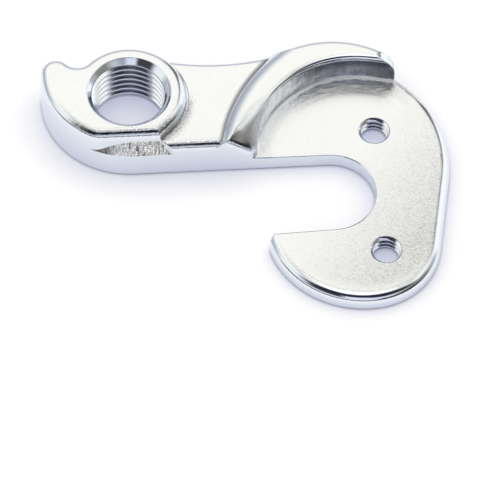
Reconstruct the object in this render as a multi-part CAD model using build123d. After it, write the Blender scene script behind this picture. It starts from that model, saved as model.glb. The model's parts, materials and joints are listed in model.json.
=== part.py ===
"""Bicycle derailleur hanger, forged and machined from one piece of aluminium.

The frame of the part: the origin is on the axis of the derailleur thread, on the flat back face.
+Z points out of the back face through the part, and +X runs along the straight front edge,
from the derailleur boss towards the plate that is screwed to the bicycle frame.
All sizes are in millimetres and all angles in degrees.
"""
import os
from math import asin, atan2, cos, degrees, pi, radians, sin, sqrt, tan

from build123d import *

# Heights: the plate stands on the back face, and the web, rib and boss rise from it in steps.
plate_thickness = 2.3
web_rise = 3.4
rib_rise = 0.8
boss_rise = 1.6

# Derailleur thread and the boss round it.
bore_radius = 4.46
bore_chamfer = 0.84
bore_back_chamfer = 0.4
boss_radius = 7.15
boss_round = 1.15
boss_cove = 0.42
boss_shoulder_angle = -45.0

# Horn at the far left, the stop for the derailleur's adjusting screw.
left_radius = 11.2
left_centre_x = 0.2
horn_radius = 2.0
horn_angle = 178.1
notch_radius = 1.7

# Slot for the wheel axle.
axle_x = 24.55
axle_drop = 13.2
slot_radius = 5.55
slot_flare = 2.0
slot_round = 0.2

# Two threaded holes for the frame screws, one on each side of the axle.
screw_offset = 6.1
screw_spacing = 18.0
screw_bore_radius = 1.65
screw_chamfer = 0.35

# Outer line of the plate. Centres are measured from the axle.
hook_radius = 12.0
hook_centre_x = 3.45
hook_centre_y = -4.2
hook_tip_radius = 1.2
toe_radius = 9.3
toe_angle = -82.0
shoulder_radius = 16.5
shoulder_centre_x = -1.25
shoulder_centre_y = 4.9
crown_radius = 12.8
crown_angle = 55.0
waist_radius = 29.0
plate_round = 1.25

# Curved seat that locates the edge of the frame's dropout. Its centre is measured from the axle.
seat_radius = 12.55
seat_centre_x = 3.55
seat_centre_y = 4.9
seat_line_angle = 78.0
seat_corner_radius = 1.2
seat_round = 0.7
seat_cove = 0.4

# Rib that backs the seat. Its flat crest is narrowest in one direction from the seat's centre.
rib_crest_radius = 20.9
rib_crest_width = 1.86
rib_crest_angle = 151.46
rib_slope_width = 2.0
rib_round = 1.1
rib_end_x = 9.25
rib_end_radius = 2.6
web_round = 1.0

# Flat relief on the front of the boss, with a steep ledge below it that is pointed at both ends.
relief_depth = 1.05
relief_bend_radius = 4.0
relief_run_out = 1.5
relief_ledge_drop = 1.7
relief_ledge_tilt = 57.0

# Sloping facet at the front end of the rib.
facet_angle = 137.0
facet_tilt = 47.0
facet_setback = 0.1
facet_front_round = 1.2
facet_top_round = 1.2

# Edge of the back face.
back_chamfer = 0.15


def along(angle):
    """Unit vector in the plan at an angle from +X."""
    return Vector(cos(radians(angle)), sin(radians(angle)))


def arc_about(centre, start, end, clockwise=False):
    """Arc round a centre from one point to another."""
    first = atan2(start.Y - centre.Y, start.X - centre.X)
    last = atan2(end.Y - centre.Y, end.X - centre.X)
    if clockwise and last > first:
        last -= 2 * pi
    if not clockwise and last < first:
        last += 2 * pi
    middle = centre + along(degrees((first + last) / 2)) * (start - centre).length
    return ThreePointArc(start, middle, end)


def touching_centre(first, first_radius, second, second_radius, radius):
    """Centre of a circle that touches two circles from outside, on the left of first to second."""
    a = first_radius + radius
    b = second_radius + radius
    span = second - first
    reach = (a * a - b * b + span.length**2) / (2 * span.length)
    rise = sqrt(a * a - reach * reach)
    direction = span.normalized()
    return first + direction * reach + Vector(-direction.Y, direction.X) * rise


def toward(centre, target, distance):
    """Point at a distance from a centre in the direction of a target."""
    return centre + (target - centre).normalized() * distance


# Levels of the steps
web_top = plate_thickness + web_rise
rib_top = web_top + rib_rise
boss_top = web_top + boss_rise

# Centres of the outline's circles
origin = Vector(0, 0)
axle = Vector(axle_x, -axle_drop)
front_y = slot_radius - axle_drop
left_centre = Vector(left_centre_x, front_y + left_radius)
horn_centre = left_centre + along(horn_angle) * (left_radius - horn_radius)
notch_centre = touching_centre(horn_centre, horn_radius, origin, boss_radius, notch_radius)
shoulder_centre = axle + Vector(shoulder_centre_x, shoulder_centre_y)
crown_centre = shoulder_centre + along(crown_angle) * (shoulder_radius - crown_radius)
waist_centre = touching_centre(origin, boss_radius, crown_centre, crown_radius, waist_radius)
hook_centre = axle + Vector(hook_centre_x, hook_centre_y)
toe_centre = hook_centre + along(toe_angle) * (hook_radius - toe_radius)
seat_centre = axle + Vector(seat_centre_x, seat_centre_y)
crest_shift = rib_crest_radius - seat_radius - rib_crest_width
rib_centre = seat_centre - along(rib_crest_angle) * crest_shift

# Straight right side, touching the shoulder and the toe
side_span = shoulder_centre - toe_centre
side_lean = degrees(asin((shoulder_radius - toe_radius) / side_span.length))
side_normal = along(degrees(atan2(side_span.Y, side_span.X)) - 90 - side_lean)
side_top = shoulder_centre + side_normal * shoulder_radius
side_bottom = toe_centre + side_normal * toe_radius

# Lower edge of the slot and the tip of the hook
slot_normal = Vector(sin(radians(slot_flare)), -cos(radians(slot_flare)))
slot_direction = Vector(-cos(radians(slot_flare)), -sin(radians(slot_flare)))
slot_bottom = axle + slot_normal * slot_radius
tip_start = axle + slot_normal * (slot_radius + hook_tip_radius) - hook_centre
tip_reach = hook_radius - hook_tip_radius
tip_run = -tip_start.dot(slot_direction) + sqrt(
    tip_start.dot(slot_direction) ** 2 - tip_start.length**2 + tip_reach**2
)
tip_centre = hook_centre + tip_start + slot_direction * tip_run

# Points where neighbouring stretches of the outline meet
left_bottom = Vector(left_centre_x, front_y)
horn_left = toward(left_centre, horn_centre, left_radius)
horn_notch = toward(horn_centre, notch_centre, horn_radius)
boss_notch = toward(origin, notch_centre, boss_radius)
boss_waist = toward(origin, waist_centre, boss_radius)
boss_shoulder = along(boss_shoulder_angle) * boss_radius
shoulder_direction = along(boss_shoulder_angle - 90)
crown_waist = toward(crown_centre, waist_centre, crown_radius)
crown_shoulder = shoulder_centre + along(crown_angle) * shoulder_radius
toe_hook = hook_centre + along(toe_angle) * hook_radius
hook_tip = toward(hook_centre, tip_centre, hook_radius)
tip_slot = tip_centre - slot_normal * hook_tip_radius
slot_top = Vector(axle_x, front_y)

# Seat in plan: a rounded front corner, the long arc, and a straight run to the end of the rib
corner_rise = front_y + seat_corner_radius - seat_centre.Y
corner_reach = sqrt((seat_radius + seat_corner_radius) ** 2 - corner_rise**2)
corner_centre = Vector(seat_centre.X - corner_reach, front_y + seat_corner_radius)
corner_front = Vector(corner_centre.X, front_y)
corner_seat = toward(seat_centre, corner_centre, seat_radius)
seat_bend = seat_centre + along(seat_line_angle) * seat_radius
seat_direction = along(seat_line_angle - 90)
rib_end = axle.X + rib_end_x
seat_end = seat_bend + seat_direction * ((rib_end - seat_bend.X) / seat_direction.X)

# Relief in plan: a bend that leaves the left arc smoothly, a straight run, and a corner at the boss
relief_y = front_y + relief_depth
bend_reach = left_radius - relief_bend_radius
bend_rise = bend_reach - relief_depth
bend_centre = Vector(left_centre.X - sqrt(bend_reach**2 - bend_rise**2), relief_y + relief_bend_radius)
relief_tip = toward(left_centre, bend_centre, left_radius)
relief_left = Vector(bend_centre.X, relief_y)
relief_corner = boss_shoulder + shoulder_direction * ((relief_y - boss_shoulder.Y) / shoulder_direction.Y)

horn_side = [
    arc_about(notch_centre, boss_notch, horn_notch, clockwise=True),
    arc_about(horn_centre, horn_notch, horn_left),
]


def prism(edges, height):
    """Solid from the back face up to a height over a closed line of edges."""
    return extrude(make_face(edges), amount=height)


def top_edges(solid, height):
    """Edges of a solid that lie in the level plane at a height."""
    return solid.edges().filter_by_position(Axis.Z, height - 0.001, height + 0.001)


def cove_section(wall, facing, floor, radius):
    """Section that fills the corner between a wall, facing +X or -X, and a floor with a round."""
    def at(out, up):
        return Vector(wall + facing * out, 0, floor + up)

    bend = radius * (1 - sqrt(0.5))
    return make_face(
        [
            ThreePointArc(at(radius, 0), at(bend, bend), at(0, radius)),
            Line(at(0, radius), at(-radius, radius)),
            Line(at(-radius, radius), at(-radius, -radius)),
            Line(at(-radius, -radius), at(radius, -radius)),
            Line(at(radius, -radius), at(radius, 0)),
        ]
    )


def edge_section(wall, facing, top, radius):
    """Section that is cut from the edge between a wall, facing +X or -X, and a top to round it."""
    def at(out, up):
        return Vector(wall + facing * out, 0, top + up)

    bend = radius * (1 - sqrt(0.5))
    return make_face(
        [
            ThreePointArc(at(0, -radius), at(-bend, -bend), at(-radius, 0)),
            Line(at(-radius, 0), at(-radius, radius)),
            Line(at(-radius, radius), at(radius, radius)),
            Line(at(radius, radius), at(radius, -radius)),
            Line(at(radius, -radius), at(0, -radius)),
        ]
    )


def swing(section, centre, start, end):
    """Solid swept by a section round a centre, counter-clockwise from one point to another."""
    first = degrees(atan2(start.Y - centre.Y, start.X - centre.X))
    last = degrees(atan2(end.Y - centre.Y, end.X - centre.X))
    sweep = (last - first) % 360
    return Pos(centre.X, centre.Y) * Rot(0, 0, first) * revolve(section, Axis.Z, sweep)


def run(section, start, end):
    """Solid swept by a section along a straight line, with the section's +X on the right."""
    span = end - start
    heading = degrees(atan2(span.Y, span.X))
    return Pos(start.X, start.Y) * Rot(0, 0, heading - 90) * extrude(section, span.length, (0, 1, 0))


def make_slot():
    """Slot for the axle, open to the left as far as the tip of the hook reaches."""
    slot_mouth = hook_tip.X - hook_radius
    return prism(
        [
            Line(Vector(slot_mouth, front_y), slot_top),
            arc_about(axle, slot_top, slot_bottom, clockwise=True),
            Line(slot_bottom, tip_slot),
            arc_about(tip_centre, tip_slot, hook_tip),
            Line(hook_tip, Vector(slot_mouth, hook_tip.Y)),
            Line(Vector(slot_mouth, hook_tip.Y), Vector(slot_mouth, front_y)),
        ],
        web_top,
    )


def make_plate():
    """Plate with the hook: rounded outer edge, then the axle slot cut from the left."""
    blank_start = Vector(hook_centre.X - sqrt(hook_radius**2 - hook_centre_y**2), axle.Y)
    outer_line = [
        arc_about(hook_centre, blank_start, toe_hook),
        arc_about(toe_centre, toe_hook, side_bottom),
        Line(side_bottom, side_top),
        arc_about(shoulder_centre, side_top, crown_shoulder),
        arc_about(crown_centre, crown_shoulder, crown_waist),
    ]
    inner_line = [
        Line(crown_waist, corner_front),
        Line(corner_front, slot_top),
        Line(slot_top, axle),
        Line(axle, blank_start),
    ]
    blank = prism(outer_line + inner_line, plate_thickness)
    outer = [
        edge
        for edge in top_edges(blank, plate_thickness)
        if edge.geom_type == GeomType.CIRCLE or edge.center().X > axle_x + slot_radius
    ]
    blank = fillet(outer, plate_round)
    tip_end = tip_slot + slot_direction * hook_tip_radius
    straight_edge = edge_section(0, 1, plate_thickness, slot_round)
    round_edge = edge_section(slot_radius, -1, plate_thickness, slot_round)
    edges = (
        run(straight_edge, corner_front, slot_top)
        + swing(round_edge, axle, slot_bottom, slot_top)
        + run(straight_edge, slot_bottom, tip_end)
    )
    return blank - make_slot() - edges


def make_seat_cove():
    """Round along the foot of the seat, trimmed flush with the front edge."""
    corner = cove_section(seat_corner_radius, 1, plate_thickness, seat_cove)
    long_arc = cove_section(seat_radius, -1, plate_thickness, seat_cove)
    straight = cove_section(0, 1, plate_thickness, seat_cove)
    cove = (
        swing(corner, corner_centre, corner_front, corner_seat)
        + swing(long_arc, seat_centre, seat_bend, corner_seat)
        + run(straight, seat_bend, seat_end)
    )
    return cove - make_slot()


def make_boss_cove():
    """Round along the foot of the boss, ended where the rounded edges of the web begin."""
    radius = min(boss_cove, boss_rise - boss_round)
    straight = cove_section(0, -1, web_top, radius)
    curved = cove_section(boss_radius, 1, web_top, radius)
    behind = Pos(waist_centre.X, waist_centre.Y, web_top) * Cylinder(waist_radius + web_round, web_top)
    width = 2 * boss_radius
    front_end = front_y + max(web_round, relief_depth)
    in_front = Pos(0, front_end - width / 2, web_top) * Box(2 * width, width, web_top)
    cove = swing(curved, origin, boss_shoulder, boss_waist) + run(straight, boss_shoulder, relief_corner)
    return cove - behind - in_front


def make_web():
    """Web that joins the boss to the plate, as high as its flat top, with rounded long edges."""
    seat_middle = toward(seat_centre, crown_waist, seat_radius)
    web = prism(
        [
            Line(left_bottom, corner_front),
            arc_about(corner_centre, corner_front, corner_seat),
            arc_about(seat_centre, corner_seat, seat_middle, clockwise=True),
            Line(seat_middle, crown_waist),
            arc_about(waist_centre, crown_waist, boss_waist, clockwise=True),
            arc_about(origin, boss_waist, boss_notch),
        ]
        + horn_side
        + [arc_about(left_centre, horn_left, left_bottom)],
        web_top,
    )
    rounded = [
        edge
        for edge in top_edges(web, web_top)
        if edge.geom_type == GeomType.CIRCLE or abs(edge.center().Y - front_y) < 0.001
    ]
    return fillet(rounded, web_round) - make_relief()


def make_rib():
    """Rib behind the seat: rounded along the back and along the seat, falling in a curve to the web."""
    left_x = rib_centre.X - rib_crest_radius - 2.5 * rib_slope_width
    far_y = crown_centre.Y + 2 * crown_radius
    waist_end = Vector(left_x, waist_centre.Y - sqrt(waist_radius**2 - (left_x - waist_centre.X) ** 2))
    near_left = Vector(left_x, front_y - crown_radius)
    outer = prism(
        [
            arc_about(shoulder_centre, side_top, crown_shoulder),
            arc_about(crown_centre, crown_shoulder, crown_waist),
            arc_about(waist_centre, crown_waist, waist_end, clockwise=True),
            Line(waist_end, near_left),
            Line(near_left, side_top),
        ],
        rib_top,
    )
    outer = fillet(top_edges(outer, rib_top).filter_by(GeomType.CIRCLE), rib_round)
    inner_left = left_x - rib_slope_width
    seat_far = seat_end + seat_direction * crown_radius
    front_left = Vector(inner_left, front_y)
    far_right = Vector(seat_far.X, far_y)
    far_left = Vector(inner_left, far_y)
    inner = prism(
        [
            Line(front_left, corner_front),
            arc_about(corner_centre, corner_front, corner_seat),
            arc_about(seat_centre, corner_seat, seat_bend, clockwise=True),
            Line(seat_bend, seat_far),
            Line(seat_far, far_right),
            Line(far_right, far_left),
            Line(far_left, front_left),
        ],
        rib_top + rib_rise,
    )
    return (outer & inner) - make_rib_end() - make_rib_slope() - make_seat_edge()


def make_seat_edge():
    """What is cut from the edge between the seat and the top of the rib to round it."""
    long_arc = edge_section(seat_radius, -1, rib_top, seat_round)
    straight = edge_section(0, 1, rib_top, seat_round)
    end = seat_end + seat_direction * seat_round
    return swing(long_arc, seat_centre, seat_bend, corner_seat) + run(straight, seat_bend, end)


def make_rib_slope():
    """What is cut from the rib on the side of the web: a ring with a convex inner face."""
    slope_radius = (rib_slope_width**2 + rib_rise**2) / (2 * rib_rise)
    steepest = asin(rib_slope_width / slope_radius)
    foot = rib_crest_radius + rib_slope_width
    toe_drop = 2 * web_round
    toe = foot + toe_drop / tan(steepest)
    outside = toe + rib_crest_radius
    half = steepest / 2
    crest = Vector(rib_crest_radius, 0, rib_top)
    middle = Vector(rib_crest_radius + slope_radius * sin(half), 0, rib_top - slope_radius * (1 - cos(half)))
    foot_point = Vector(foot, 0, web_top)
    toe_point = Vector(toe, 0, web_top - toe_drop)
    outside_low = Vector(outside, 0, web_top - toe_drop)
    outside_high = Vector(outside, 0, rib_top + rib_rise)
    crest_high = Vector(rib_crest_radius, 0, rib_top + rib_rise)
    profile = make_face(
        [
            ThreePointArc(crest, middle, foot_point),
            Line(foot_point, toe_point),
            Line(toe_point, outside_low),
            Line(outside_low, outside_high),
            Line(outside_high, crest_high),
            Line(crest_high, crest),
        ]
    )
    return Pos(rib_centre.X, rib_centre.Y) * revolve(profile, Axis.Z)


def make_rib_end():
    """What is cut from the right end of the rib: everything outside a quarter round."""
    start = rib_end - rib_end_radius
    bend = Vector(start, 0, rib_top - rib_end_radius)
    top = Vector(start, 0, rib_top)
    side = Vector(rib_end, 0, rib_top - rib_end_radius)
    middle = bend + Vector(sin(pi / 4), 0, cos(pi / 4)) * rib_end_radius
    far = rib_end + crown_radius
    high = rib_top + rib_rise
    profile = make_face(
        [
            ThreePointArc(top, middle, side),
            Line(side, Vector(rib_end, 0, 0)),
            Line(Vector(rib_end, 0, 0), Vector(far, 0, 0)),
            Line(Vector(far, 0, 0), Vector(far, 0, high)),
            Line(Vector(far, 0, high), Vector(start, 0, high)),
            Line(Vector(start, 0, high), top),
        ]
    )
    return extrude(profile, amount=2 * crown_radius, both=True)


def edge_between(point, end, first_normal, second_normal, radius):
    """What is cut from the straight edge where two planes meet, from a point to an end, to round it."""
    bisector = (first_normal + second_normal).normalized()
    centre = point - bisector * (radius / bisector.dot(first_normal))
    first = centre + first_normal * radius
    second = centre + second_normal * radius
    section = make_face(
        [
            ThreePointArc(first, centre + bisector * radius, second),
            Line(second, second + second_normal * radius),
            Line(second + second_normal * radius, point + bisector * radius),
            Line(point + bisector * radius, first + first_normal * radius),
            Line(first + first_normal * radius, first),
        ]
    )
    return extrude(section, (end - point).length, end - point)


def cut_facet(blank):
    """Cut the sloping facet from the front end of the rib and round its top and front edges."""
    outward = along(facet_angle)
    lean = radians(facet_tilt)
    up = Vector(0, 0, 1)
    normal = up * cos(lean) - outward * sin(lean)
    start = seat_centre + outward * (seat_radius + facet_setback) + up * rib_top
    plane = Plane(origin=start, x_dir=along(facet_angle + 90), z_dir=normal)
    facet = plane * Pos(seat_radius, 0, seat_radius) * Box(2 * seat_radius, 2 * seat_radius, 2 * seat_radius)
    top_end = start + along(facet_angle + 90) * seat_radius
    top_edge = edge_between(start, top_end, up, normal, facet_top_round)
    forward = Vector(0, -1, 0)
    slope = normal.cross(forward).normalized()
    middle = corner_front + up * (rib_top - (corner_front - start + up * rib_top).dot(normal) / normal.Z)
    reach = slope * seat_radius / 2
    front_edge = edge_between(middle - reach, middle + reach, forward, normal, facet_front_round)
    return blank - facet - top_edge - front_edge


def make_boss():
    """Boss for the derailleur thread with the horn beside it, one flat top with a rounded edge."""
    boss = prism(
        [
            Line(relief_left, relief_corner),
            Line(relief_corner, boss_shoulder),
            arc_about(origin, boss_shoulder, boss_notch),
        ]
        + horn_side
        + [
            arc_about(left_centre, horn_left, relief_tip),
            arc_about(bend_centre, relief_tip, relief_left),
        ],
        boss_top,
    )
    shoulder_run = (relief_corner - boss_shoulder).length
    half_turn = radians(90 + boss_shoulder_angle) / 2
    return fillet(top_edges(boss, boss_top), min(boss_round, shoulder_run / tan(half_turn)))


def make_relief():
    """What is cut from the web in front of the boss: all that stands above the ledge's slope."""
    slope = tan(radians(relief_ledge_tilt))
    middle = web_top - relief_ledge_drop
    low = middle - relief_depth * slope
    high = middle + 2 * relief_depth * slope
    run_out = Vector(relief_run_out, -relief_depth)
    inside = relief_corner - run_out
    outside = relief_corner + run_out * 2
    far_left = left_centre.X - 2 * left_radius
    region = make_face(
        Polyline(
            (inside.X, inside.Y, low),
            (outside.X, outside.Y, low),
            (far_left, outside.Y, low),
            (far_left, inside.Y, low),
            close=True,
        )
    )
    block = extrude(region, amount=high - low)
    cone = Cone(left_radius + relief_depth, left_radius - 2 * relief_depth, high - low)
    wedge = make_face(
        Polyline(
            (left_centre.X, front_y - relief_depth, low),
            (left_centre.X, front_y + 2 * relief_depth, high),
            (left_centre.X, left_centre.Y, high),
            (left_centre.X, left_centre.Y, low),
            close=True,
        )
    )
    ledge = Pos(left_centre.X, left_centre.Y, (low + high) / 2) * cone
    ledge += extrude(wedge, amount=2 * left_radius, dir=(1, 0, 0))
    return block - ledge


def make_bore(x, y, radius, top, front_chamfer, back_chamfer):
    """Through hole with a chamfer at each face."""
    def cone(small_z, large_z, width):
        profile = make_face(
            Polyline(
                (0, 0, small_z),
                (radius, 0, small_z),
                (radius + width, 0, large_z),
                (0, 0, large_z),
                close=True,
            )
        )
        return revolve(profile, Axis.Z)

    hole = Pos(0, 0, top / 2) * Cylinder(radius, top)
    front = cone(top - front_chamfer, top, front_chamfer)
    back = cone(back_chamfer, 0, back_chamfer)
    return Pos(x, y) * (hole + front + back)


upper = cut_facet(make_web()) + cut_facet(make_rib())
body = make_plate() + upper + make_seat_cove() + make_boss() + make_boss_cove()
body -= make_bore(0, 0, bore_radius, boss_top, bore_chamfer, bore_back_chamfer)
for side in (1, -1):
    body -= make_bore(
        axle.X + screw_offset,
        axle.Y + side * screw_spacing / 2,
        screw_bore_radius,
        plate_thickness,
        screw_chamfer,
        screw_chamfer,
    )

back_outline = body.faces().sort_by(Axis.Z)[0].outer_wire()
hanger = chamfer(back_outline.edges(), back_chamfer)
hanger.label = "hanger"
os.makedirs("parts", exist_ok=True)
export_step(hanger, "parts/hanger.step")
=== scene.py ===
"""Bicycle derailleur hanger of tumbled aluminium, lying on a white table in soft studio light."""
import json
import math

import bmesh
import bpy
import numpy as np
from mathutils import Matrix, Vector

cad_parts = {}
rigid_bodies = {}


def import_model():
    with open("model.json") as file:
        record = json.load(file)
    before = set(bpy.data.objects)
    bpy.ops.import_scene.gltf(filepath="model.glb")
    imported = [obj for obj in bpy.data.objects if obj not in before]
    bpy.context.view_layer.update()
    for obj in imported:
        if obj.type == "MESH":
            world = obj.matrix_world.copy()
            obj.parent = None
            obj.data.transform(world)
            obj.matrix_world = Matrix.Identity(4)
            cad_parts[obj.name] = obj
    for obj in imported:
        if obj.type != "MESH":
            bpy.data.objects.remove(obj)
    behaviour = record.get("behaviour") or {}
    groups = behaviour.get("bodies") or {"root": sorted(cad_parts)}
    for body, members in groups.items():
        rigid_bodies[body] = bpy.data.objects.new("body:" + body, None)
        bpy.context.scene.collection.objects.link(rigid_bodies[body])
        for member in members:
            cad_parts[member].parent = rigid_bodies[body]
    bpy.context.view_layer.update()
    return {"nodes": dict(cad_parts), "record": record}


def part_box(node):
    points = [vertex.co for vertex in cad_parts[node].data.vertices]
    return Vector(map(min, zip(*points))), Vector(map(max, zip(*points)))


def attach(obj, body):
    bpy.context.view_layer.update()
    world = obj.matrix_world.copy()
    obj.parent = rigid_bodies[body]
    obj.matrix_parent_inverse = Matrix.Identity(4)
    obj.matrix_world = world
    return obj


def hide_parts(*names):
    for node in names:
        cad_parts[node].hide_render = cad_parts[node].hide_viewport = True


for leftover in list(bpy.data.objects):
    bpy.data.objects.remove(leftover)
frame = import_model()


# The forged body: a hook-shaped plate, a web with a curved rib and a boss, all one piece of aluminium.
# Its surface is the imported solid's own, welded into one closed skin. The solid's smooth normals are
# kept on each face corner, so that they are still there after the threads have been cut.
MM = 0.001
weld_distance = 0.0001 * MM
hanger = bpy.data.objects.new("tapped_hanger", frame["nodes"]["hanger"].data.copy())
bpy.context.scene.collection.objects.link(hanger)
skin = hanger.data
corner_normals = np.empty(len(skin.loops) * 3, np.float32)
skin.corner_normals.foreach_get("vector", corner_normals)
forged_normal = skin.attributes.new("forged_normal", "FLOAT_VECTOR", "CORNER")
forged_normal.data.foreach_set("vector", corner_normals)
skin.attributes.remove(skin.attributes["custom_normal"])
forging = bmesh.new()
forging.from_mesh(skin)
bmesh.ops.remove_doubles(forging, verts=forging.verts, dist=weld_distance)
forging.to_mesh(skin)
forging.free()


# Its finish is bright: the part is tumbled until it shines. Walls and rounded edges come out polished,
# and the flats keep a grain of small dents and a slight swell, rougher towards the hook. The foot of
# the boss is left rough with deeper dents, and its darker colour there is partly painted shade.
def map_range(value, limits, results=(0.0, 1.0), kind="SMOOTHSTEP"):
    """Value carried, smoothly or in a straight line, from one pair of limits to a pair of results."""
    tree = value.id_data
    scaled = tree.nodes.new("ShaderNodeMapRange")
    scaled.interpolation_type = kind
    scaled.inputs["From Min"].default_value, scaled.inputs["From Max"].default_value = limits
    scaled.inputs["To Min"].default_value, scaled.inputs["To Max"].default_value = results
    tree.links.new(value, scaled.inputs["Value"])
    return scaled.outputs["Result"]


def combine(operation, *values):
    """Result of one calculation carried through a row of values, each a socket or a number."""
    tree = next(value.id_data for value in values if not isinstance(value, float))
    result = values[0]
    for value in values[1:]:
        step = tree.nodes.new("ShaderNodeMath")
        step.operation = operation
        for socket, given in zip(step.inputs, (result, value)):
            if isinstance(given, float):
                socket.default_value = given
            else:
                tree.links.new(given, socket)
        result = step.outputs["Value"]
    return result


def region(*spans):
    """Mask that is 1 where every measure has passed from the first of its limits to the second."""
    return combine("MULTIPLY", *(map_range(measure, limits) for measure, *limits in spans))


def mix_colour(below, mask, colour):
    """Colour laid over another, a socket or a colour, where a mask is 1."""
    tree = mask.id_data
    mix = tree.nodes.new("ShaderNodeMix")
    mix.data_type = "RGBA"
    tree.links.new(mask, mix.inputs["Factor"])
    lower, upper = [socket for socket in mix.inputs if socket.type == "RGBA"]
    if isinstance(below, tuple):
        lower.default_value = (*below, 1)
    else:
        tree.links.new(below, lower)
    upper.default_value = (*colour, 1)
    return next(socket for socket in mix.outputs if socket.type == "RGBA")


def place_on_part(tree):
    """Position on the part in millimetres."""
    place = tree.nodes.new("ShaderNodeVectorMath")
    place.operation = "SCALE"
    place.inputs["Scale"].default_value = 1 / MM
    tree.links.new(tree.nodes.new("ShaderNodeTexCoord").outputs["Object"], place.inputs[0])
    return place.outputs["Vector"]


def separate(vector):
    """The three components of a vector."""
    parts = vector.id_data.nodes.new("ShaderNodeSeparateXYZ")
    vector.id_data.links.new(vector, parts.inputs["Vector"])
    return parts.outputs["X"], parts.outputs["Y"], parts.outputs["Z"]


def distance_from(point, position):
    """Distance of a position from a point, in millimetres."""
    span = position.id_data.nodes.new("ShaderNodeVectorMath")
    span.operation = "DISTANCE"
    position.id_data.links.new(position, span.inputs[0])
    span.inputs[1].default_value = point
    return span.outputs["Value"]


def streak_noise(position, cell):
    """Noise stretched to cells of a size in millimetres along each axis."""
    tree = position.id_data
    stretch = tree.nodes.new("ShaderNodeMapping")
    stretch.inputs["Scale"].default_value = [1 / size for size in cell]
    tree.links.new(position, stretch.inputs["Vector"])
    noise = tree.nodes.new("ShaderNodeTexNoise")
    noise.inputs["Scale"].default_value = 1.0
    noise.inputs["Detail"].default_value = 2.0
    tree.links.new(stretch.outputs["Vector"], noise.inputs["Vector"])
    return noise.outputs["Fac"]


def make_metal(name, colour, roughness):
    """Bare metal of one colour and roughness, both left open for a mask to change."""
    material = bpy.data.materials.new(name)
    material.use_nodes = True
    shader = material.node_tree.nodes["Principled BSDF"]
    shader.inputs["Base Color"].default_value = (*colour, 1)
    shader.inputs["Metallic"].default_value = 1.0
    shader.inputs["Roughness"].default_value = roughness
    return material


def add_relief(material, height):
    """Bump on a metal's surface, from a height in millimetres."""
    tree = material.node_tree
    bump = tree.nodes.new("ShaderNodeBump")
    bump.inputs["Distance"].default_value = MM
    tree.links.new(height, bump.inputs["Height"])
    tree.links.new(bump.outputs["Normal"], tree.nodes["Principled BSDF"].inputs["Normal"])
    return bump


dent_size = 0.24
swell_size = 7.0
speck_spacing = 0.45
grain = bpy.data.node_groups.new("tumbled_grain", "ShaderNodeTree")
for socket_name in ("Dents", "Swell", "Specks"):
    grain.interface.new_socket(socket_name, in_out="OUTPUT", socket_type="NodeSocketFloat")
grain_place = place_on_part(grain)
grain_out = grain.nodes.new("NodeGroupOutput")
for socket_name, cell_size, detail in (("Dents", dent_size, 2.0), ("Swell", swell_size, 1.0)):
    noise = grain.nodes.new("ShaderNodeTexNoise")
    noise.inputs["Scale"].default_value = 1 / cell_size
    noise.inputs["Detail"].default_value = detail
    noise.inputs["Roughness"].default_value = 0.6
    grain.links.new(grain_place, noise.inputs["Vector"])
    grain.links.new(noise.outputs["Fac"], grain_out.inputs[socket_name])
cells = grain.nodes.new("ShaderNodeTexVoronoi")
cells.inputs["Scale"].default_value = 1 / speck_spacing
grain.links.new(grain_place, cells.inputs["Vector"])
grain.links.new(map_range(cells.outputs["Distance"], (0.30, 0.10)), grain_out.inputs["Specks"])

# The places where the finish differs, and where shade, dark reflections and highlights are painted, are
# found by their distance in plan from the thread, the hook, the seat and the rib, by their height over the
# plate or the web, and by how the metal faces.
hook_centre = (28.0, -17.4, 0)
hook_radius = 12.0
seat_centre = (28.10, -8.30, 0)
seat_radius = 12.55
rib_centre = (33.80, -11.40, 0)
rib_foot_radius = 22.9
facet_middle = (16.2, -4.4, 4.8)
plate_top = 2.3
web_top = 5.7
body_metal = make_metal("tumbled_aluminium", (0.86, 0.88, 0.91), 0.1)
tree = body_metal.node_tree
shader = tree.nodes["Principled BSDF"]
place = place_on_part(tree)
x, y, z = separate(place)
_, back, up = separate(tree.nodes.new("ShaderNodeTexCoord").outputs["Normal"])
plan = tree.nodes.new("ShaderNodeCombineXYZ")
tree.links.new(x, plan.inputs["X"])
tree.links.new(y, plan.inputs["Y"])
plan_place = plan.outputs["Vector"]
over_plate = combine("SUBTRACT", z, plate_top)
over_web = combine("SUBTRACT", z, web_top)
from_thread = distance_from((0, 0, 0), plan_place)
from_hook = combine("SUBTRACT", distance_from(hook_centre, plan_place), hook_radius)
from_seat = combine("SUBTRACT", distance_from(seat_centre, plan_place), seat_radius)
from_rib_foot = combine("SUBTRACT", distance_from(rib_centre, plan_place), rib_foot_radius)
from_rib_foot = combine("ABSOLUTE", from_rib_foot, 0.0)
texture = tree.nodes.new("ShaderNodeGroup")
texture.node_tree = grain
dents, swell, specks = texture.outputs
streaks = streak_noise(place, (0.8, 0.8, 8.0))

flat = map_range(up, (0.9, 0.995))
# Painted highlight: the front rim of the hook is kept light, as its rounded edge catches the bright room.
hook_rim_highlight = region((from_hook, -3.5, -0.5), (y, -19.0, -24.0))
# The flats turn duller and darker towards the hook, and their dents grow deeper there.
towards_hook = combine("ADD", combine("MULTIPLY", x, 0.8), combine("MULTIPLY", y, -0.55))
hookward_grade = map_range(towards_hook, (25.0, 46.0))
hookward_grade = combine("MULTIPLY", hookward_grade, map_range(hook_rim_highlight, (0.0, 1.0), (1.0, 0.2)))
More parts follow.
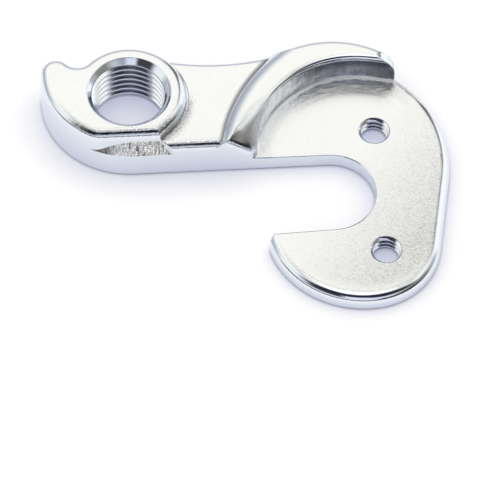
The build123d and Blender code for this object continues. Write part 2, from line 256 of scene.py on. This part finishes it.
# The foot of the boss: deeper dents, and a darker colour that is partly painted shade.
boss_foot = region(
    (from_thread, 8.7, 7.4), (from_thread, 6.3, 6.8), (over_web, 0.7, 0.3), (y, 1.5, -2.0),
    (up, 0.05, 0.2),
)
seat_foot = region((from_seat, -2.35, -0.95), (over_plate, 0.3, 0.1), (x, 36.0, 34.5), (y, -9.0, -7.5))
seat_foot = combine("MULTIPLY", seat_foot, flat)
seat_wall = region(
    (from_seat, -0.35, -0.15), (from_seat, 2.05, 1.65), (over_plate, 0.1, 0.4), (y, -7.4, -6.4),
    (up, 0.5, 0.3),
)
# Painted dark reflection: the seat's wall darkens towards its far end.
wall_end_dark_reflection = combine("MULTIPLY", seat_wall, map_range(x, (27.0, 34.5)))
# Painted highlight: a bright line in the cove at the foot of the seat's wall, which is also rougher.
seat_cove = region(
    (from_seat, -0.75, -0.55), (from_seat, 2.05, 1.65), (over_plate, 0.5, 0.4), (y, -6.4, -4.4),
    (up, 0.99, 0.9), (up, 0.1, 0.3),
)
rib_foot = region((from_rib_foot, 1.8, 0.5), (over_web, -0.4, -0.1), (up, 0.75, 0.9))
# Painted shade: a dark line in the crease at the rib's foot.
rib_crease_shade = combine("MULTIPLY", rib_foot, map_range(from_rib_foot, (0.7, 0.1)))
front_edge = region((x, 13.5, 12.5), (y, -3.0, -5.0), (over_web, -0.8, -0.4), (up, 0.1, 0.3))
# Painted dark reflection: a broken dark line along the front edges of the boss and the web.
edge_dark_reflection = region((back, -0.15, -0.30), (up, 0.55, 0.72))
edge_dark_reflection = combine("MULTIPLY", front_edge, edge_dark_reflection, map_range(dents, (0.78, 0.42), (0.0, 0.85)))
# Painted dark reflection along the inner edge by the hook.
inner_edge_dark_reflection = region((x, 32.0, 29.0), (y, -16.0, -17.5), (back, 0.15, 0.4), (up, 0.0, 0.2))
near_facet = map_range(distance_from(facet_middle, place), (4.6, 2.2))

# Colour: the flats are painted paler than the walls, a painted highlight on the tops, and the walls'
# stronger blue is a painted reflection of the shaded table. The flats turn duller and darker towards the
# hook and in the pits of the dents, and bright specks on them are painted glints. The foot of the boss is
# darker, partly painted shade. The crease along the rib's foot, the front edges, the inner edge by the hook
# and the far end of the seat's wall carry painted shade and dark reflection, and the seat's cove carries a
# painted highlight.
grained = combine("MAXIMUM", flat, boss_foot)
pitted = combine("ADD", combine("MULTIPLY", hookward_grade, 0.42), 0.04, combine("MULTIPLY", boss_foot, 0.6))
pits = combine("MULTIPLY", map_range(dents, (0.55, 0.30)), pitted, grained)
# Duller colour towards the hook, and painted shade at the foot of the boss.
dull_and_shaded = combine("ADD", combine("MULTIPLY", hookward_grade, flat, 0.7), combine("MULTIPLY", boss_foot, boss_foot))
# Painted glints: bright specks on the grained flats.
painted_glints = combine("MULTIPLY", specks, grained, map_range(hookward_grade, (0.0, 1.0), (0.08, 0.9)))
streaked = combine("MULTIPLY", map_range(streaks, (0.58, 0.36)), seat_wall)
# The walls' bluish base and the flats' paler colour are painted reflection and painted highlight.
tint = (0.77, 0.805, 0.87)
for mask, colour in (
    (flat, (0.91, 0.925, 0.945)),
    (dull_and_shaded, (0.56, 0.565, 0.59)),
    (pits, (0.22, 0.22, 0.23)),
    (painted_glints, (0.97, 0.97, 0.97)),
    (rib_crease_shade, (0.30, 0.30, 0.32)),
    (streaked, (0.64, 0.65, 0.68)),
    (edge_dark_reflection, (0.22, 0.22, 0.24)),
    (inner_edge_dark_reflection, (0.24, 0.24, 0.25)),
    (wall_end_dark_reflection, (0.34, 0.34, 0.36)),
    (seat_cove, (0.97, 0.97, 0.98)),
):
    tint = mix_colour(tint, mask, colour)
tree.links.new(tint, shader.inputs["Base Color"])
polish = combine(
    "ADD",
    map_range(flat, (0.0, 1.0), (0.1, 0.25)),
    combine("MULTIPLY", seat_foot, 0.08),
    combine("MULTIPLY", seat_cove, 0.4),
)
tree.links.new(polish, shader.inputs["Roughness"])

# Relief: fine dents, the swell of the flats, and shallow streaks on the seat's wall and at its foot.
# All depths are in millimetres. Walls and rounds keep a part of the relief.
swell_depth = 0.06
least_relief = 0.25
dent_depth = combine(
    "ADD",
    map_range(hookward_grade, (0.0, 1.0), (0.008, 0.02)),
    combine("MULTIPLY", boss_foot, 0.05),
    combine("MULTIPLY", seat_foot, 0.03),
    combine("MULTIPLY", front_edge, 0.012),
)
streak_depth = combine("MAXIMUM", combine("MULTIPLY", seat_wall, 0.05), combine("MULTIPLY", seat_foot, 0.08))
relief = combine(
    "ADD",
    combine("MULTIPLY", dents, dent_depth),
    combine("MULTIPLY", swell, swell_depth),
    combine("MULTIPLY", streaks, streak_depth),
)
body_bump = add_relief(body_metal, relief)
uneven = combine("MAXIMUM", grained, least_relief, near_facet, seat_wall, front_edge)
tree.links.new(uneven, body_bump.inputs["Strength"])

# The edges are broken by the tumbling: a little everywhere, more along the foot of the rib's slope
# and most round the facet at its front end.
sharpest_break = 0.2 * MM
softest_break = 2.4 * MM
rib_foot_share = 0.35
edge_break = tree.nodes.new("ShaderNodeBevel")
edge_break.samples = 8
softened = combine("MAXIMUM", combine("MULTIPLY", rib_foot, rib_foot_share), near_facet)
break_radius = map_range(softened, (0.0, 1.0), (sharpest_break, softest_break))
tree.links.new(break_radius, edge_break.inputs["Radius"])
tree.links.new(edge_break.outputs["Normal"], body_bump.inputs["Normal"])


# The ledge on the front of the boss: a steep face of the same aluminium, left rough where no tumbling
# stone reaches. Its streaks run up the slope, and it lies in shadow towards its left end.
tear_depth = 0.45
ledge_dent_depth = 0.04
ledge_metal = make_metal("rough_ledge", (0.90, 0.90, 0.90), 0.18)
tree = ledge_metal.node_tree
ledge_place = place_on_part(tree)
ledge_x, _, _ = separate(ledge_place)
texture = tree.nodes.new("ShaderNodeGroup")
texture.node_tree = grain
tears = streak_noise(ledge_place, (0.55, 2.4, 2.4))
shadowed = combine("MAXIMUM", map_range(ledge_x, (-1.6, -3.6)), map_range(tears, (0.45, 0.30)))
tint = mix_colour((0.92, 0.92, 0.91), shadowed, (0.26, 0.26, 0.26))
tree.links.new(tint, tree.nodes["Principled BSDF"].inputs["Base Color"])
tear_relief = combine("MULTIPLY", tears, tear_depth)
dent_relief = combine("MULTIPLY", texture.outputs["Dents"], ledge_dent_depth)
add_relief(ledge_metal, combine("ADD", tear_relief, dent_relief))


def lies_on_ledge(polygon):
    """Whether a face of the part belongs to the ledge, by its place in millimetres and its slope."""
    slope = math.radians(57)
    slope_tolerance = 0.03
    x, y, z = polygon.center / MM
    on_boss_front = x < 5.1 and y < -5.9 and 3.9 < z < 5.7
    return on_boss_front and abs(polygon.normal.z - math.cos(slope)) < slope_tolerance


# The threads: a large one in the boss (M10 x 1) and two small ones in the plate (M4), cut with a tap
# into the same aluminium and left as cut. Each tap is a helical solid with 60 degree flanks, whose rows
# climb one pitch in a turn.
def make_tap(name, mount, major_radius, pitch):
    """Tap on a threaded mount, long enough to pass out of the part at both ends."""
    columns = 96
    rows = 4
    turns_below = 3
    spare_turns = 5
    half_flank_angle = math.radians(30)
    below_crest = 0.05 * MM
    x, y, _ = mount["pos_m"]
    inner_radius = mount["dims"]["r_mm"] * MM - below_crest
    root_flat = pitch / 8
    half_root = root_flat / 2
    half_mouth = half_root + (major_radius - inner_radius) * math.tan(half_flank_angle)
    profile = [
        (-half_root, major_radius),
        (half_root, major_radius),
        (half_mouth, inner_radius),
        (pitch - half_mouth, inner_radius),
    ]
    start = -turns_below * pitch
    turns = math.ceil(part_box("hanger")[1].z / pitch) + spare_turns
    last = turns * rows
    mesh = bmesh.new()
    grid = []
    for i in range(columns):
        angle = 2 * math.pi * i / columns
        column = []
        for j in range(last + 1):
            offset, radius = profile[j % rows]
            z = start + pitch * (j // rows + i / columns) + offset
            column.append(mesh.verts.new((x + radius * math.cos(angle), y + radius * math.sin(angle), z)))
        grid.append(column)
    for i in range(columns - 1):
        for j in range(last):
            mesh.faces.new((grid[i][j], grid[i + 1][j], grid[i + 1][j + 1], grid[i][j + 1]))
    for j in range(last - rows):
        mesh.faces.new((grid[-1][j], grid[0][j + rows], grid[0][j + rows + 1], grid[-1][j + 1]))
    top_loop = [column[last] for column in grid] + [grid[-1][last - j] for j in range(1, rows + 1)]
    bottom_loop = [column[0] for column in grid] + [grid[0][rows - j] for j in range(rows)]
    top = mesh.verts.new((x, y, start + pitch * (turns + 1)))
    bottom = mesh.verts.new((x, y, start))
    for first, second in zip(top_loop, top_loop[1:] + top_loop[:1]):
        mesh.faces.new((first, second, top))
    for first, second in zip(bottom_loop, bottom_loop[1:] + bottom_loop[:1]):
        mesh.faces.new((second, first, bottom))
    tap = bpy.data.objects.new(name, bpy.data.meshes.new(name))
    mesh.to_mesh(tap.data)
    mesh.free()
    bpy.context.scene.collection.objects.link(tap)
    return tap


mounts = {mount["name"]: mount for mount in frame["record"]["mounts"]}
boss_thread_radius = 5.0 * MM
boss_thread_pitch = 1.0 * MM
plate_thread_radius = 2.0 * MM
plate_thread_pitch = 0.7 * MM
taps = [
    make_tap("boss_tap", mounts["derailleur_thread"], boss_thread_radius, boss_thread_pitch),
    make_tap("upper_plate_tap", mounts["frame_screw_upper"], plate_thread_radius, plate_thread_pitch),
    make_tap("lower_plate_tap", mounts["frame_screw_lower"], plate_thread_radius, plate_thread_pitch),
]
for tap in taps:
    cut = hanger.modifiers.new(tap.name, "BOOLEAN")
    cut.operation = "DIFFERENCE"
    cut.solver = "EXACT"
    cut.object = tap
bpy.context.view_layer.update()
tapped = bpy.data.meshes.new_from_object(hanger.evaluated_get(bpy.context.evaluated_depsgraph_get()))
hanger.modifiers.clear()
hanger.data = tapped
for tap in taps:
    bpy.data.objects.remove(tap)

# Faces from the solid take back its normals. A thread's faces have none stored, and they are made
# smooth along the helix only.
smooth_angle = math.radians(25)
shortest_stored = 0.5
finished = bmesh.new()
finished.from_mesh(tapped)
normal_layer = finished.loops.layers.float_vector["forged_normal"]
split_normals = []
thread_faces = set()
for face in finished.faces:
    for loop in face.loops:
        normal = Vector(loop[normal_layer])
        if normal.length < shortest_stored:
            thread_faces.add(face.index)
            near = [other.normal * other.calc_area() for other in loop.vert.link_faces
                    if other.normal.angle(face.normal, math.pi) < smooth_angle]
            normal = sum(near, Vector())
        split_normals.append(normal.normalized())
finished.free()
tapped.attributes.remove(tapped.attributes["forged_normal"])
tapped.shade_smooth()
tapped.normals_split_custom_set(split_normals)

thread_metal = make_metal("cut_thread", (0.84, 0.86, 0.89), 0.14)
finishes = (body_metal, ledge_metal, thread_metal)
tapped.materials.clear()
for material in finishes:
    tapped.materials.append(material)
for polygon in tapped.polygons:
    if polygon.index in thread_faces:
        finish = thread_metal
    elif lies_on_ledge(polygon):
        finish = ledge_metal
    else:
        finish = body_metal
    polygon.material_index = finishes.index(finish)
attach(hanger, "root")
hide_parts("hanger")


# The table: a plain white sheet, wide enough to fill every view. It glows a little where it is seen,
# directly or in the metal, so that it reads as white while it keeps the part's shadow. Near the part
# the glow is painted darker and bluer, a painted shadow with a painted dark contact line.
table_half = 3.0
table_drop = 0.02 * MM
shadow_reach = 6 * MM
contact_reach = 0.7 * MM
table_corners = [(-1, -1), (1, -1), (1, 1), (-1, 1)]
table_mesh = bpy.data.meshes.new("table")
table_mesh.from_pydata(
    [(x * table_half, y * table_half, -table_drop) for x, y in table_corners], [], [(0, 1, 2, 3)]
)
table = bpy.data.objects.new("table", table_mesh)
bpy.context.scene.collection.objects.link(table)
paper = bpy.data.materials.new("white_paper")
paper.use_nodes = True
tree = paper.node_tree
sheet = tree.nodes["Principled BSDF"]
sheet.inputs["Base Color"].default_value = (0.52, 0.49, 0.44, 1)
sheet.inputs["Roughness"].default_value = 0.9
sheet.inputs["Specular IOR Level"].default_value = 0.1


def openness(reach, limits):
    """How far the sheet lies open to the sky within a reach, as a mask between two limits."""
    crevice = tree.nodes.new("ShaderNodeAmbientOcclusion")
    crevice.inputs["Distance"].default_value = reach
    return map_range(crevice.outputs["AO"], limits, kind="LINEAR")


# Painted shadow: the glow turns darker and bluer where the part closes the sheet in, and nearly black where
# they touch.
glow_with_painted_shadow = mix_colour((0.36, 0.39, 0.54), openness(shadow_reach, (0.35, 0.99)), (0.71, 0.72, 0.745))
contact_shadow_mask = combine("SUBTRACT", 1.0, openness(contact_reach, (0.15, 0.75)))
glow_with_painted_shadow = mix_colour(glow_with_painted_shadow, contact_shadow_mask, (0.02, 0.02, 0.03))
tree.links.new(glow_with_painted_shadow, sheet.inputs["Emission Color"])
seen = tree.nodes.new("ShaderNodeLightPath")
seen_by = ("Is Camera Ray", "Is Glossy Ray", "Is Transmission Ray")
shown = combine("MAXIMUM", *(seen.outputs[ray] for ray in seen_by))
tree.links.new(shown, sheet.inputs["Emission Strength"])
table_mesh.materials.append(paper)


# The camera stands in front of the part and looks down on it, as far off as a long lens needs.
# Its direction, roll and aim are those of a camera fitted to the photograph's outline and holes.
view_elevation = math.radians(56.3)
view_azimuth = math.radians(5.27)
view_roll = math.radians(1.7)
view_distance = 560 * MM
view_target = Vector((12.796 * MM, -18.240 * MM, 0))
forward = Vector((
    math.sin(view_azimuth) * math.cos(view_elevation),
    math.cos(view_azimuth) * math.cos(view_elevation),
    -math.sin(view_elevation),
))
level_right = Vector((math.cos(view_azimuth), -math.sin(view_azimuth), 0))
level_up = level_right.cross(forward)
right = level_right * math.cos(view_roll) + level_up * math.sin(view_roll)
upward = level_up * math.cos(view_roll) - level_right * math.sin(view_roll)
lens = bpy.data.cameras.new("camera")
lens.sensor_width = 36
lens.lens = 337.5
lens.clip_start = 0.01
camera = bpy.data.objects.new("camera", lens)
camera.matrix_world = Matrix.Translation(view_target - forward * view_distance) @ Matrix(
    (right, upward, -forward)).transposed().to_4x4()
bpy.context.scene.collection.objects.link(camera)
bpy.context.scene.camera = camera


# The light: a white room with a large soft source overhead and behind, dark towards the camera.
# The world is written as a picture of that room: how high a direction points, how far to the front
# (towards the camera) and how far to the right decide its colour.
studio = bpy.data.worlds.new("studio")
bpy.context.scene.world = studio
studio.use_nodes = True
tree = studio.node_tree
direction = tree.nodes.new("ShaderNodeTexCoord").outputs["Generated"]


def component(axis):
    """How far a direction of the room points along an axis."""
    dot = tree.nodes.new("ShaderNodeVectorMath")
    dot.operation = "DOT_PRODUCT"
    tree.links.new(direction, dot.inputs[0])
    dot.inputs[1].default_value = axis
    return dot.outputs["Value"]


height = component((0, 0, 1))
front = component((-math.sin(view_azimuth), -math.cos(view_azimuth), 0))
side = component(level_right)

# Each zone has a colour and the limits between which it fades in. A later zone covers an earlier one.
behind = (front, -0.25, -0.45)
far_wall = ((0.56, 0.57, 0.62), (height, 0.78, 0.30), (front, 0.1, -0.2))
gap_below_lamp = ((0.55, 0.54, 0.50), (height, 0.86, 0.91), (height, 0.97, 0.93), (front, 0.2, -0.1))
lamp_overhead = ((1.5, 1.5, 1.46), (height, 0.93, 0.99))
back_post = ((0.16, 0.155, 0.14), (side, 0.24, 0.34), (side, 0.56, 0.46), (height, 0.84, 0.76), behind)
back_window = ((1.2, 1.2, 1.2), (side, 0.50, 0.60), (height, -0.05, 0.05), (height, 0.66, 0.58), behind)
right_wall = ((0.30, 0.29, 0.25), (side, 0.45, 0.8), (front, -0.3, 0.1), (height, 0.7, 0.5))
front_horizon = ((0.04, 0.04, 0.042), (height, 0.24, 0.14), (front, -0.2, 0.3))
right_corner = ((0.02, 0.02, 0.022), (side, 0.2, 0.4), (front, 0.2, 0.4), (height, 0.40, 0.26))
shade_board = (
    (0.06, 0.06, 0.06), (side, 0.05, 0.25), (front, 0.05, 0.28), (height, 0.50, 0.65), (height, 0.97, 0.90)
)
left_stand = (
    (0.06, 0.06, 0.058), (side, -0.16, -0.30), (front, 0.35, 0.55), (height, 0.88, 0.80), (height, 0.30, 0.45)
)
front_rail = ((0.02, 0.022, 0.04), (height, 0.58, 0.70), (height, 0.95, 0.92), (front, 0.15, 0.30))
room = mix_colour((1.13, 1.12, 1.05), map_range(front, (-0.2, 0.7)), (0.95, 0.97, 1.06))
for colour, *spans in (
    far_wall, gap_below_lamp, lamp_overhead, back_post, back_window, right_wall,
    front_horizon, right_corner, shade_board, left_stand, front_rail,
):
    room = mix_colour(room, region(*spans), colour)
tree.links.new(room, tree.nodes["Background"].inputs["Color"])

bpy.context.scene.view_settings.view_transform = "Standard"
